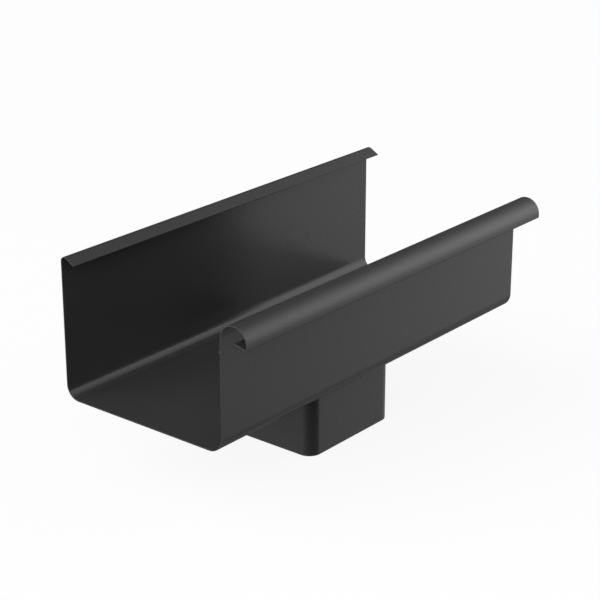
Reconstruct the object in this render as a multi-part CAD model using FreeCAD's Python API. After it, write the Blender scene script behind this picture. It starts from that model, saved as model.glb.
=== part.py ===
import FreeCAD, Part
import math
import os

# Running outlet of a box gutter, in millimetres.
# The origin is the centre of the spigot's bottom rim. +X runs along the gutter, +Y towards the wall it hangs on,
# +Z up. Heights of the trough are measured from the underside of its base.

# Sheet
sheet = 0.7                    # thickness of both pieces

# Trough
trough_length = 283.0
trough_width = 120.0           # over the outer faces of the front and rear walls
rear_height = 87.5             # to the top of the rear fold
front_height = 77.9            # to the top of the bead
rear_bend_radius = 8.2         # inside, base to rear wall
front_bend_radius = 9.2        # inside, base to front wall

# Lip folded in along the top of the rear wall
rear_fold_radius = 2.3         # inside
rear_lip_reach = 10.2          # from the rear wall's outer face to the lip's edge
rear_lip_slope = 30.0          # degrees below level

# Bead rolled out along the top of the front wall
bead_diameter = 19.2           # over the outside
bead_drop = 2.5                # from the roll's centre down to its fold
return_fold_radius = 0.5       # inside
return_lip_length = 9.0        # from the fold to the edge
return_lip_rise = 13.0         # degrees above level

# Square outlet under the middle of the base
spigot_side = 78.6             # over flat faces, slides into a square pipe of 80 mm bore
spigot_corner_radius = 8.1     # outside
spigot_drop = 47.2             # from the base's underside to the bottom rim
flange_width = 8.0             # from the spigot's outer face to the flange's edge
flange_bend_radius = 0.5       # inside
collar_bend_radius = 0.5       # inside, tighter than the flange's outer curve that it wraps
collar_depth = 10.0            # how far the base's rim is drawn down inside the spigot
bond_gap = 0.15                # adhesive between collar and spigot

half_sheet = sheet / 2
spigot_half = spigot_side / 2
corner_axis = spigot_half - spigot_corner_radius      # centre of each round corner, along X and along Y


def along_y(across, up):
    return FreeCAD.Vector(0, across, up)


def along_x(across, up):
    return FreeCAD.Vector(across, 0, up)


class Bend:
    """One bend of a sheet's middle line, at the corner between two flats."""

    def __init__(self, before, corner, after, inside_radius):
        heading_in = (corner - before).normalize()
        heading_out = (after - corner).normalize()
        turn = math.atan2(heading_in.x * heading_out.y - heading_in.y * heading_out.x, heading_in.dot(heading_out))
        self.side = math.copysign(1, turn)            # +1 where the sheet turns left
        self.radius = inside_radius + half_sheet
        setback = self.radius * math.tan(abs(turn) / 2)
        self.start = corner - heading_in * setback
        self.end = corner + heading_out * setback
        left = FreeCAD.Vector(-heading_in.y, heading_in.x, 0)
        self.centre = self.start + left * (self.side * self.radius)
        self.middle = self.centre + (corner - self.centre).normalize() * self.radius

    def offset(self, point, shift):
        """A point of the arc, moved to the face that lies shift to the left of the middle line."""
        share = (self.radius - self.side * shift) / self.radius
        return self.centre + (point - self.centre) * share


def sheet_side(line, bends, shift, place):
    """Edges of the sheet's face that lies shift to the left of its middle line."""
    edges = []
    heading = (line[1] - line[0]).normalize()
    here = line[0] + FreeCAD.Vector(-heading.y, heading.x, 0) * shift
    for bend in bends:
        start, middle, end = (bend.offset(point, shift) for point in (bend.start, bend.middle, bend.end))
        edges += flat_edge(here, start, place)
        edges.append(Part.Arc(*(place(p.x, p.y) for p in (start, middle, end))).toShape())
        here = end
    heading = (line[-1] - line[-2]).normalize()
    last = line[-1] + FreeCAD.Vector(-heading.y, heading.x, 0) * shift
    return edges + flat_edge(here, last, place)


def flat_edge(start, end, place):
    """A straight edge as a list, empty where two bends meet with no flat between them."""
    if (end - start).Length < 1e-6:
        return []
    return [Part.LineSegment(place(start.x, start.y), place(end.x, end.y)).toShape()]


def sheet_section(corners, inside_radii, place):
    """Face of a folded sheet's section, from the corners of its middle line and one inside radius a corner."""
    line = [FreeCAD.Vector(across, up, 0) for across, up in corners]
    bends = [Bend(*line[k:k + 3], radius) for k, radius in enumerate(inside_radii)]
    left = sheet_side(line, bends, half_sheet, place)
    right = sheet_side(line, bends, -half_sheet, place)
    ends = [Part.LineSegment(left[0].firstVertex().Point, right[0].firstVertex().Point).toShape(),
            Part.LineSegment(left[-1].lastVertex().Point, right[-1].lastVertex().Point).toShape()]
    return Part.Face(Part.Wire(Part.__sortEdges__(left + right + ends)))


def around_square(section):
    """A section in the XZ plane carried round the outlet: four straight sides and four round corners."""
    across = FreeCAD.Vector(0, corner_axis, 0)
    axis = FreeCAD.Vector(corner_axis, corner_axis, 0)
    up = FreeCAD.Vector(0, 0, 1)
    side = section.translated(-across).extrude(across * 2)
    corner = section.translated(across).revolve(axis, up, 90)
    quarters = [piece.rotated(FreeCAD.Vector(), up, 90 * k) for k in range(4) for piece in (side, corner)]
    return quarters[0].fuse(quarters[1:]).removeSplitter()


def square_prism(half_side, low, high):
    """A square prism about Z whose round corners share the outlet's corner axes."""
    bulge = corner_axis + (half_side - corner_axis) * math.cos(math.pi / 4)
    side = Part.LineSegment(FreeCAD.Vector(half_side, -corner_axis, low), FreeCAD.Vector(half_side, corner_axis, low))
    corner = Part.Arc(FreeCAD.Vector(half_side, corner_axis, low), FreeCAD.Vector(bulge, bulge, low),
                      FreeCAD.Vector(corner_axis, half_side, low))
    up = FreeCAD.Vector(0, 0, 1)
    edges = [edge.toShape().rotated(FreeCAD.Vector(), up, 90 * k) for k in range(4) for edge in (side, corner)]
    return Part.Face(Part.Wire(edges)).extrude(FreeCAD.Vector(0, 0, high - low))


def trough_section():
    """The sheet's whole profile, from the rear lip's edge round to the return lip's edge."""
    wall = trough_width / 2 - half_sheet
    base = spigot_drop + half_sheet

    slope = math.radians(rear_lip_slope)
    fold = rear_fold_radius + half_sheet
    fold_centre_z = spigot_drop + rear_height - rear_fold_radius - sheet
    rear_corner = fold_centre_z + (fold + fold * math.sin(slope)) / math.cos(slope)
    lip_edge_y = trough_width / 2 - rear_lip_reach
    lip_edge_z = rear_corner - (wall - lip_edge_y) * math.tan(slope)

    roll = bead_diameter / 2 - half_sheet
    bead_top = spigot_drop + front_height - half_sheet
    bead_outer = -wall - 2 * roll
    return_fold_z = bead_top - roll - bead_drop
    rise = math.radians(return_lip_rise)
    return_edge_y = bead_outer + return_lip_length * math.cos(rise)
    return_edge_z = return_fold_z + return_lip_length * math.sin(rise)

    corners = [(lip_edge_y, lip_edge_z), (wall, rear_corner), (wall, base), (-wall, base), (-wall, bead_top),
               (bead_outer, bead_top), (bead_outer, return_fold_z), (return_edge_y, return_edge_z)]
    bead_inside = bead_diameter / 2 - sheet
    inside_radii = [rear_fold_radius, rear_bend_radius, front_bend_radius, bead_inside, bead_inside,
                    return_fold_radius]
    return sheet_section(corners, inside_radii, along_y)


def drawn_collar():
    """The rim of the outlet hole, turned down inside the spigot, with the reach of its bend into the base."""
    middle = spigot_half - sheet - bond_gap - half_sheet
    base = spigot_drop + half_sheet
    reach = middle + collar_bend_radius + half_sheet
    section = sheet_section([(reach, base), (middle, base), (middle, spigot_drop - collar_depth)],
                            [collar_bend_radius], along_x)
    return around_square(section), reach


def gutter_trough():
    section = trough_section().translated(FreeCAD.Vector(-trough_length / 2, 0, 0))
    folded = section.extrude(FreeCAD.Vector(trough_length, 0, 0))
    collar, reach = drawn_collar()
    hole = square_prism(reach, spigot_drop - sheet, spigot_drop + 2 * sheet)
    return folded.cut(hole).fuse(collar).removeSplitter()


def outlet_spigot():
    middle = spigot_half - half_sheet
    top = spigot_drop - half_sheet
    section = sheet_section([(middle, 0), (middle, top), (spigot_half + flange_width, top)], [flange_bend_radius],
                            along_x)
    return around_square(section)


os.makedirs("parts", exist_ok=True)
gutter_trough().exportStep("parts/gutter_trough.step")
outlet_spigot().exportStep("parts/outlet_spigot.step")
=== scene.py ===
import math
import bmesh
import bpy
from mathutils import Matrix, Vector


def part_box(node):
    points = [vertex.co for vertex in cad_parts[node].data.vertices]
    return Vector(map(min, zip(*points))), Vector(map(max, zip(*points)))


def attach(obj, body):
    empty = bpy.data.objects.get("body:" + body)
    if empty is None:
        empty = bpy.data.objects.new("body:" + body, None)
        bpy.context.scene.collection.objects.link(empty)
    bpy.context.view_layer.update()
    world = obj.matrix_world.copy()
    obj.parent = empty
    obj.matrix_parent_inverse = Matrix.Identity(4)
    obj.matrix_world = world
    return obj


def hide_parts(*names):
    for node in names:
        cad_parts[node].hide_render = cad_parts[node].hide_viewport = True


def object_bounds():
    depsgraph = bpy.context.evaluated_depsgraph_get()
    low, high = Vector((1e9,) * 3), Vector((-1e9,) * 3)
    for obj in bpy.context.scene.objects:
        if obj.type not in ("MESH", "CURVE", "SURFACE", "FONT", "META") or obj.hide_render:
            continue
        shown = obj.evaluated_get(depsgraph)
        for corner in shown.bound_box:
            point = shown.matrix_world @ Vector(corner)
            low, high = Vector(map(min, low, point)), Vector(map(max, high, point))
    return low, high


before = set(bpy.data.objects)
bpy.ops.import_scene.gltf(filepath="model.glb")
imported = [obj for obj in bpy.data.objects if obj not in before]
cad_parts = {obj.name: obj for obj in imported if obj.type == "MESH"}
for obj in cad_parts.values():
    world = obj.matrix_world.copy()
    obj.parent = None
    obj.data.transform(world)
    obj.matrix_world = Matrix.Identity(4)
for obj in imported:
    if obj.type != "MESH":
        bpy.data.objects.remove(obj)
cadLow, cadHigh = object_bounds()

mm = 0.001                       # a size times this is written in millimetres
plainWhite = (1.0, 1.0, 1.0, 1.0)


# nodes, for the finishes and for the geometry trees

class Wire:                      # a socket that can stand in a sum or a comparison
    def __init__(self, tree, socket):
        self.tree = tree
        self.socket = socket

    def calc(self, operation, first, second):
        return self.tree.make("ShaderNodeMath", {"operation": operation}, {0: first, 1: second})["Value"]

    def __add__(self, other):
        return self.calc("ADD", self, other)

    __radd__ = __add__

    def __sub__(self, other):
        return self.calc("SUBTRACT", self, other)

    def __rsub__(self, other):
        return self.calc("SUBTRACT", other, self)

    def __mul__(self, other):
        return self.calc("MULTIPLY", self, other)

    __rmul__ = __mul__

    def __lt__(self, other):
        return self.calc("LESS_THAN", self, other)

    def __gt__(self, other):
        return self.calc("GREATER_THAN", self, other)


class Made:                      # a node whose outputs come out as wires
    def __init__(self, tree, node):
        self.tree = tree
        self.node = node

    def __getitem__(self, name):
        socket = next(socket for socket in self.node.outputs if socket.enabled and socket.name == name)
        return Wire(self.tree, socket)


class Tree:                      # one method makes any node, settings first
    def __init__(self, nodeTree):
        self.nodeTree = nodeTree

    def make(self, kind, settings=None, values=None):
        node = self.nodeTree.nodes.new(kind)
        for name, value in (settings or {}).items():
            setattr(node, name, value)
        for name, value in (values or {}).items():
            self.feed(node, name, value)
        return Made(self, node)

    def feed(self, node, name, value):           # a number stands for a socket whose name isn't its own
        if isinstance(name, int):
            target = node.inputs[name]
        else:
            target = next(socket for socket in node.inputs if socket.enabled and socket.name == name)
        for item in value if isinstance(value, list) else [value]:
            if isinstance(item, Wire):
                self.nodeTree.links.new(item.socket, target)
            else:
                target.default_value = item


def newMaterial(name):
    material = bpy.data.materials.new(name)
    material.use_nodes = True
    material.node_tree.nodes.clear()
    return material, Tree(material.node_tree)


# camera, at the photograph's place and angle

photo = {
    "pixels": 600,
    "focalPixels": 1807.6,                       # focal length in pixels of the photograph
    "azimuth": -50.682,                          # degrees, 0 looks along +Y
    "elevation": 21.191,
    "aim": (18.5 * mm, 0.0, 87.2 * mm),
    "aimShift": (12.976 * mm, 11.491 * mm),      # how far the aim lies right of and above the picture's centre
    "distance": 1114.437 * mm,
    "sensor": 36.0,
    "clipStart": 50.0 * mm,
}


def outwardFrom(around, above):                  # direction from the object, in degrees round it and up
    a, e = math.radians(around), math.radians(above)
    return Vector((math.sin(a) * math.cos(e), -math.cos(a) * math.cos(e), math.sin(e)))


def placeCamera():
    turn = math.radians(photo["azimuth"])
    back = outwardFrom(photo["azimuth"], photo["elevation"])
    right = Vector((math.cos(turn), math.sin(turn), 0))
    up = back.cross(right)
    data = bpy.data.cameras.new("photoCamera")
    data.sensor_width = photo["sensor"]
    data.lens = photo["sensor"] * photo["focalPixels"] / photo["pixels"]
    data.clip_start = photo["clipStart"]
    camera = bpy.data.objects.new("photoCamera", data)
    bpy.context.scene.collection.objects.link(camera)
    shiftRight, shiftUp = photo["aimShift"]
    camera.location = Vector(photo["aim"]) - right * shiftRight - up * shiftUp + back * photo["distance"]
    camera.rotation_mode = "QUATERNION"
    camera.rotation_quaternion = (-back).to_track_quat("-Z", "Y")
    bpy.context.scene.camera = camera


placeCamera()
print("camera placed")


# studio

studio = {
    "floorSize": 6.0,
    "floorColour": (0.95, 0.95, 0.95, 1.0),
    "floorWhite": 0.9,                           # share of plain white in the floor, the rest takes the shadow
    "glows": {                                   # degrees round the object and up, tightness and level of each
        "right": (64.9, 12.4, 6.86, 2.37),
        "rear": (-118.8, 27.6, 5.47, 3.96),
        "back": (154.0, 39.9, 5.0, 0.07),
        "below": (95.2, -63.8, 5.02, 0.21),
    },
    "panel": {"round": -53.3, "up": 24.9, "distance": 2.0, "diameter": 1.96, "watts": 20.4},
}


def makeFloor():                                 # only the camera sees it, so the light from below stays even
    material, tree = newMaterial("paleFloor")
    seen = tree.make("ShaderNodeLightPath")["Is Camera Ray"]
    plain = tree.make("ShaderNodeBsdfDiffuse", {}, {"Color": studio["floorColour"]})["BSDF"]
    white = tree.make("ShaderNodeEmission", {}, {"Color": plainWhite, "Strength": 1.0})["Emission"]
    mixed = tree.make("ShaderNodeMixShader", {}, {0: studio["floorWhite"], 1: plain, 2: white})["Shader"]
    clear = tree.make("ShaderNodeBsdfTransparent")["BSDF"]
    shown = tree.make("ShaderNodeMixShader", {}, {0: seen, 1: clear, 2: mixed})["Shader"]
    tree.make("ShaderNodeOutputMaterial", {}, {"Surface": shown})
    half = studio["floorSize"] / 2
    corners = [(-half, -half, 0), (half, -half, 0), (half, half, 0), (-half, half, 0)]
    mesh = bpy.data.meshes.new("studioFloor")
    mesh.from_pydata(corners, [], [(0, 1, 2, 3)])
    mesh.materials.append(material)
    floor = bpy.data.objects.new("studioFloor", mesh)
    bpy.context.scene.collection.objects.link(floor)


def makeWorld():                                 # white to the camera, and soft glows to the object
    world = bpy.data.worlds.new("studioWorld")
    world.use_nodes = True
    world.node_tree.nodes.clear()
    tree = Tree(world.node_tree)
    outward = tree.make("ShaderNodeTexCoord")["Generated"]
    seen = tree.make("ShaderNodeLightPath")["Is Camera Ray"]
    light = 0.0
    for around, above, tightness, level in studio["glows"].values():
        directions = {0: outward, 1: outwardFrom(around, above)}
        facing = tree.make("ShaderNodeVectorMath", {"operation": "DOT_PRODUCT"}, directions)["Value"]
        glow = tree.make("ShaderNodeMath", {"operation": "EXPONENT"}, {0: (facing - 1.0) * tightness})["Value"]
        light = glow * level + light
    shown = {"Color": plainWhite, "Strength": seen + (1.0 - seen) * light}
    shader = tree.make("ShaderNodeBackground", {}, shown)["Background"]
    tree.make("ShaderNodeOutputWorld", {}, {"Surface": shader})
    bpy.context.scene.world = world


def makePanel():                                 # a large round softbox near the camera
    panel = studio["panel"]
    data = bpy.data.lights.new("frontPanel", "AREA")
    data.shape = "DISK"
    data.size = panel["diameter"]
    data.energy = panel["watts"]
    light = bpy.data.objects.new("frontPanel", data)
    bpy.context.scene.collection.objects.link(light)
    outward = outwardFrom(panel["round"], panel["up"])
    light.location = (cadLow + cadHigh) / 2 + outward * panel["distance"]
    light.rotation_mode = "QUATERNION"
    light.rotation_quaternion = (-outward).to_track_quat("-Z", "Y")


makeFloor()
makeWorld()
makePanel()
bpy.context.scene.view_settings.view_transform = "Standard"
print("studio made")


# finishes

coating = {
    "colour": (0.028, 0.028, 0.028, 1.0),
    "paler": (0.032, 0.032, 0.032, 1.0),         # what the colour drifts to
    "edgeColour": (0.029, 0.029, 0.029, 1.0),    # along the cut edges
    "edgePaler": (0.031, 0.031, 0.031, 1.0),
    "roughness": 0.245,
    "roughnessSpread": 0.04,
    "cloud": (16.0, 3.0),                        # scale and detail of an unevenness some centimetres across
    "grain": (700.0, 2.0),                       # the coating's own grain, about a millimetre and a half across
    "speck": (2600.0, 1.0),                      # the finest change of colour, under half a millimetre across
    "cloudShare": 0.6,                           # of the change in colour, specks make the rest
    "grainDepth": 0.06 * mm,
}


def noise(tree, place, pattern):
    scale, detail = coating[pattern]
    return tree.make("ShaderNodeTexNoise", {}, {"Vector": place, "Scale": scale, "Detail": detail})["Fac"]


def coatMaterial(name, colour, paler):
    material, tree = newMaterial(name)
    place = tree.make("ShaderNodeTexCoord")["Object"]
    cloud = noise(tree, place, "cloud")
    grain = noise(tree, place, "grain")
    speck = noise(tree, place, "speck")
    blend = cloud * coating["cloudShare"] + speck * (1 - coating["cloudShare"])
    shades = {"Factor": blend, "A": colour, "B": paler}
    base = tree.make("ShaderNodeMix", {"data_type": "RGBA"}, shades)["Result"]
    rough = (cloud + grain - 1.0) * coating["roughnessSpread"] + coating["roughness"]
    relief = {"Strength": 1.0, "Distance": coating["grainDepth"], "Height": grain}
    bump = tree.make("ShaderNodeBump", {}, relief)["Normal"]
    looks = {"Base Color": base, "Roughness": rough, "Normal": bump}
    shader = tree.make("ShaderNodeBsdfPrincipled", {}, looks)["BSDF"]
    tree.make("ShaderNodeOutputMaterial", {}, {"Surface": shader})
    return material


satinCoating = coatMaterial("satinCoating", coating["colour"], coating["paler"])
coatedEdge = coatMaterial("coatedEdge", coating["edgeColour"], coating["edgePaler"])
print("finishes made")


# geometry trees, which make the middle surface of a sheet

closeness = {                                    # how near two places count as one
    "rim": 0.1 * mm,                             # an edge of the collar and the level of the base
    "seam": 0.004 * mm,                          # the points where walls, collar and base meet
    "double": 0.002 * mm,                        # any two points of a finished surface
}


def newTree(name, inputs):
    group = bpy.data.node_groups.new(name, "GeometryNodeTree")
    group.interface.new_socket("Geometry", in_out="INPUT", socket_type="NodeSocketGeometry")
    for label, kind in inputs.items():
        group.interface.new_socket(label, in_out="INPUT", socket_type="NodeSocket" + kind)
    group.interface.new_socket("Geometry", in_out="OUTPUT", socket_type="NodeSocketGeometry")
    tree = Tree(group)
    return tree, tree.make("NodeGroupInput")


def endTree(tree, geometry, finish):
    real = tree.make("GeometryNodeRealizeInstances", {}, {"Geometry": geometry})["Geometry"]
    coated = tree.make("GeometryNodeSetMaterial", {}, {"Geometry": real, "Material": finish})["Geometry"]
    tree.make("NodeGroupOutput", {}, {"Geometry": coated})
    return tree.nodeTree


def attribute(tree, kind, name):
    return tree.make("GeometryNodeInputNamedAttribute", {"data_type": kind}, {"Name": name})["Attribute"]


def vector(tree, x=0.0, y=0.0, z=0.0):
    return tree.make("ShaderNodeCombineXYZ", {}, {"X": x, "Y": y, "Z": z})["Vector"]


def fillet(tree, curve, radius, steps):
    values = {"Curve": curve, "Radius": radius, "Count": steps}
    return tree.make("GeometryNodeFilletCurve", {"mode": "POLY"}, values)["Curve"]


def roundBends(tree, outline, steps):            # corner points to a line whose bends are arcs
    line = tree.make("GeometryNodeMeshToCurve", {}, {"Mesh": outline})["Curve"]
    return fillet(tree, line, attribute(tree, "FLOAT", "bendRadius"), steps)


def squareTree():                                # a sheet's section carried round a square with round corners
    tree, given = newTree("aroundSquare", {
        "Half Side": "Float", "Corner Radius": "Float", "Bend Steps": "Int", "Corner Steps": "Int",
        "Finish": "Material",
    })
    side = given["Half Side"] * 2.0
    square = tree.make("GeometryNodeCurvePrimitiveQuadrilateral", {}, {"Width": side, "Height": side})["Curve"]
    path = fillet(tree, square, given["Corner Radius"], given["Corner Steps"])
    upright = tree.make("GeometryNodeSetCurveNormal", {"mode": "Z_UP"}, {"Curve": path})["Curve"]
    section = roundBends(tree, given["Geometry"], given["Bend Steps"])
    swept = tree.make("GeometryNodeCurveToMesh", {}, {"Curve": upright, "Profile Curve": section})["Mesh"]
    return endTree(tree, swept, given["Finish"])


def baseFlat(tree, given, collar):               # the flat of the base, from its outline in to the collar
    faces = tree.make("GeometryNodeInputMeshEdgeNeighbors")["Face Count"]
    position = tree.make("GeometryNodeInputPosition")["Position"]
    height = tree.make("ShaderNodeSeparateXYZ", {}, {"Vector": position})["Z"]
    upperRim = (faces < 2) * (height > given["Base Middle"] - closeness["rim"])
    rim = tree.make("GeometryNodeMeshToCurve", {}, {"Mesh": collar, "Selection": upperRim})["Curve"]
    right = given["Length"] * 0.5
    left = given["Length"] * -0.5
    front = given["Flat Front"]
    rear = given["Flat Rear"]
    outline = tree.make("GeometryNodeCurvePrimitiveQuadrilateral", {"mode": "POINTS"}, {
        "Point 1": vector(tree, left, front), "Point 2": vector(tree, right, front),
        "Point 3": vector(tree, right, rear), "Point 4": vector(tree, left, rear),
    })["Curve"]
    both = tree.make("GeometryNodeJoinGeometry", {}, {"Geometry": [outline, rim]})["Geometry"]
    filled = tree.make("GeometryNodeFillCurve", {}, {"Curve": both})["Mesh"]
    lift = vector(tree, z=given["Base Middle"])
    return tree.make("GeometryNodeSetPosition", {}, {"Geometry": filled, "Offset": lift})["Geometry"]


def troughTree(aroundSquare):                    # the profile along X, with the outlet hole and its collar
    tree, given = newTree("foldedTrough", {
        "Length": "Float", "Base Middle": "Float", "Flat Front": "Float", "Flat Rear": "Float",
        "Collar Half Side": "Float", "Collar Corner Radius": "Float",
        "Bend Steps": "Int", "Corner Steps": "Int", "Finish": "Material",
    })
    corners = {"Geometry": given["Geometry"], "Selection": attribute(tree, "BOOLEAN", "collar")}
    parts = tree.make("GeometryNodeSeparateGeometry", {}, corners)
    folds = roundBends(tree, parts["Inverted"], given["Bend Steps"])
    profile = tree.make("GeometryNodeCurveToMesh", {}, {"Curve": folds})["Mesh"]
    along = {"Mesh": profile, "Offset": vector(tree, given["Length"]), "Offset Scale": 1.0}
    walls = tree.make("GeometryNodeExtrudeMesh", {"mode": "EDGES"}, along)["Mesh"]
    collar = tree.make("GeometryNodeGroup", {"node_tree": aroundSquare}, {
        "Geometry": parts["Selection"], "Half Side": given["Collar Half Side"],
        "Corner Radius": given["Collar Corner Radius"], "Bend Steps": given["Bend Steps"],
        "Corner Steps": given["Corner Steps"], "Finish": given["Finish"],
    })["Geometry"]
    surfaces = [walls, collar, baseFlat(tree, given, collar)]
    joined = tree.make("GeometryNodeJoinGeometry", {}, {"Geometry": surfaces})["Geometry"]
    near = {"Geometry": joined, "Distance": closeness["seam"]}
    merged = tree.make("GeometryNodeMergeByDistance", {}, near)["Geometry"]
    return endTree(tree, merged, given["Finish"])


# sheet pieces, from the corners of the middle line to the finished mesh

sheetMetal = {
    "sheet": 0.7 * mm,
    "edgeRound": 0.10 * mm,                      # on the cut edges
    "edgeSteps": 2,
    "edgeAngle": math.radians(50.0),             # a sharper turn than this is an edge
}
halfSheet = sheetMetal["sheet"] / 2


def cornerMesh(name, outlines):                  # corners of the middle line, each with its bend's radius
    points, edges, radii, collars = [], [], [], []
    for isCollar, outline in outlines:
        first = len(points)
        edges += [(first + k, first + k + 1) for k in range(len(outline) - 1)]
        points += [point for point, radius in outline]
        radii += [radius for point, radius in outline]
        collars += [isCollar] * len(outline)
    mesh = bpy.data.meshes.new(name)
    mesh.from_pydata(points, edges, [])
    mesh.attributes.new("bendRadius", "FLOAT", "POINT").data.foreach_set("value", radii)
    mesh.attributes.new("collar", "BOOLEAN", "POINT").data.foreach_set("value", collars)
    return mesh


def flatten(piece):                              # what the modifiers make becomes the piece's plain mesh
    evaluated = piece.evaluated_get(bpy.context.evaluated_depsgraph_get())
    mesh = bpy.data.meshes.new_from_object(evaluated)
    piece.modifiers.clear()
    piece.data = mesh
    mesh.name = piece.name


def growSurface(piece, group, values):
    grow = piece.modifiers.new("grow", "NODES")
    grow.node_group = group
    for item in group.interface.items_tree:
        if item.in_out == "INPUT" and item.name in values:
            grow[item.identifier] = values[item.name]
    flatten(piece)


def cleanSurface(mesh):
    shell = bmesh.new()
    shell.from_mesh(mesh)
    bmesh.ops.remove_doubles(shell, verts=shell.verts, dist=closeness["double"])
    bmesh.ops.recalc_face_normals(shell, faces=shell.faces)
    shell.to_mesh(mesh)
    shell.free()
    for name in ("bendRadius", "collar"):
        if name in mesh.attributes:
            mesh.attributes.remove(mesh.attributes[name])
    mesh.materials.clear()
    for material in (satinCoating, coatedEdge):
        mesh.materials.append(material)
    mesh.shade_smooth()


def thicken(piece):
    wall = piece.modifiers.new("wall", "SOLIDIFY")
    wall.thickness = sheetMetal["sheet"]
    wall.offset = 0
    wall.use_even_offset = True
    wall.material_offset_rim = 1                 # the cut edges take the second finish
    soften = piece.modifiers.new("soften", "BEVEL")
    soften.width = sheetMetal["edgeRound"]
    soften.segments = sheetMetal["edgeSteps"]
    soften.limit_method = "ANGLE"
    soften.angle_limit = sheetMetal["edgeAngle"]
    soften.use_clamp_overlap = False
    piece.modifiers.new("even", "WEIGHTED_NORMAL")
    flatten(piece)


def sheetPiece(name, corners, group, values):
    piece = bpy.data.objects.new(name, corners)
    bpy.context.scene.collection.objects.link(piece)
    growSurface(piece, group, values)
    cleanSurface(piece.data)
    thicken(piece)
    print(name, len(piece.data.polygons), "faces")
    return piece


# sizes that the frame gives, and the bends that it doesn't

troughLow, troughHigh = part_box("gutter_trough")
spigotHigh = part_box("outlet_spigot")[1]

spigot = {
    "flange": 8.0 * mm,
    "flangeBend": 0.5 * mm,                      # inside radii
    "collarBend": 0.5 * mm,
    "corner": 8.1 * mm,                          # outside radius of the square's corners
    "bondGap": 0.15 * mm,                        # between the spigot and the collar inside it
    "bendSteps": 8,
    "cornerSteps": 16,
}
spigotSide = spigotHigh.x - spigot["flange"]     # half the tube's width, over its outer faces
cornerAxis = spigotSide - spigot["corner"]       # centre of each round corner

trough = {
    "rearBend": 8.2 * mm,                        # inside radii
    "frontBend": 9.2 * mm,
    "rearFold": 2.3 * mm,
    "returnFold": 0.5 * mm,
    "rearReach": 10.2 * mm,                      # of the rear lip, from the wall's outer face
    "rearSlope": math.radians(30.0),
    "beadTop": 77.9 * mm,                        # above the underside of the base
    "beadDrop": 2.5 * mm,                        # from the roll's centre down to its fold
    "returnLength": 9.0 * mm,
    "returnRise": math.radians(13.0),
    "bendSteps": 16,
    "cornerSteps": 16,
}


def troughShape():
    end = troughLow.x
    wall = troughHigh.y - halfSheet
    underside = spigotHigh.z
    base = underside + halfSheet

    slope = trough["rearSlope"]
    fold = trough["rearFold"] + halfSheet
    foldCentre = troughHigh.z - halfSheet - fold
    rearCorner = foldCentre + (fold + fold * math.sin(slope)) / math.cos(slope)
    lipY = troughHigh.y - trough["rearReach"]
    lipZ = rearCorner - (wall - lipY) * math.tan(slope)

    beadOut = troughLow.y + halfSheet
    roll = (-wall - beadOut) / 2
    beadTop = underside + trough["beadTop"] - halfSheet
    foldZ = beadTop - roll - trough["beadDrop"]
    rise = trough["returnRise"]
    returnY = beadOut + trough["returnLength"] * math.cos(rise)
    returnZ = foldZ + trough["returnLength"] * math.sin(rise)

    flatRear = wall - trough["rearBend"] - halfSheet
    flatFront = -wall + trough["frontBend"] + halfSheet
    rear = [
        ((end, lipY, lipZ), 0),
        ((end, wall, rearCorner), fold),
        ((end, wall, base), trough["rearBend"] + halfSheet),
        ((end, flatRear, base), 0),
    ]
    front = [
        ((end, flatFront, base), 0),
        ((end, -wall, base), trough["frontBend"] + halfSheet),
        ((end, -wall, beadTop), roll),
        ((end, beadOut, beadTop), roll),
        ((end, beadOut, foldZ), trough["returnFold"] + halfSheet),
        ((end, returnY, returnZ), 0),
    ]

    # a section that is carried round the square has x outwards and -y up
    middle = spigotSide - sheetMetal["sheet"] - spigot["bondGap"] - halfSheet
    collarBend = spigot["collarBend"] + halfSheet
    collar = [((collarBend, -base, 0), 0), ((0, -base, 0), collarBend), ((0, -troughLow.z, 0), 0)]
    values = {
        "Length": troughHigh.x - troughLow.x, "Base Middle": base,
        "Flat Front": flatFront, "Flat Rear": flatRear,
        "Collar Half Side": middle, "Collar Corner Radius": middle - cornerAxis,
        "Bend Steps": trough["bendSteps"], "Corner Steps": trough["cornerSteps"], "Finish": satinCoating,
    }
    return cornerMesh("troughCorners", [(False, rear), (False, front), (True, collar)]), values


def spigotShape():
    middle = spigotSide - halfSheet
    top = spigotHigh.z - halfSheet
    reach = spigotHigh.x - middle
    section = [((0, 0, 0), 0), ((0, -top, 0), spigot["flangeBend"] + halfSheet), ((reach, -top, 0), 0)]
    values = {
        "Half Side": middle, "Corner Radius": middle - cornerAxis, "Bend Steps": spigot["bendSteps"],
        "Corner Steps": spigot["cornerSteps"], "Finish": satinCoating,
    }
    return cornerMesh("spigotCorners", [(False, section)]), values


aroundSquare = squareTree()
corners, values = troughShape()
gutterTrough = sheetPiece("gutterTrough", corners, troughTree(aroundSquare), values)
corners, values = spigotShape()
outletSpigot = sheetPiece("outletSpigot", corners, aroundSquare, values)

for piece, node in ((gutterTrough, "gutter_trough"), (outletSpigot, "outlet_spigot")):
    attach(piece, "root")
    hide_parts(node)
print("pieces made")
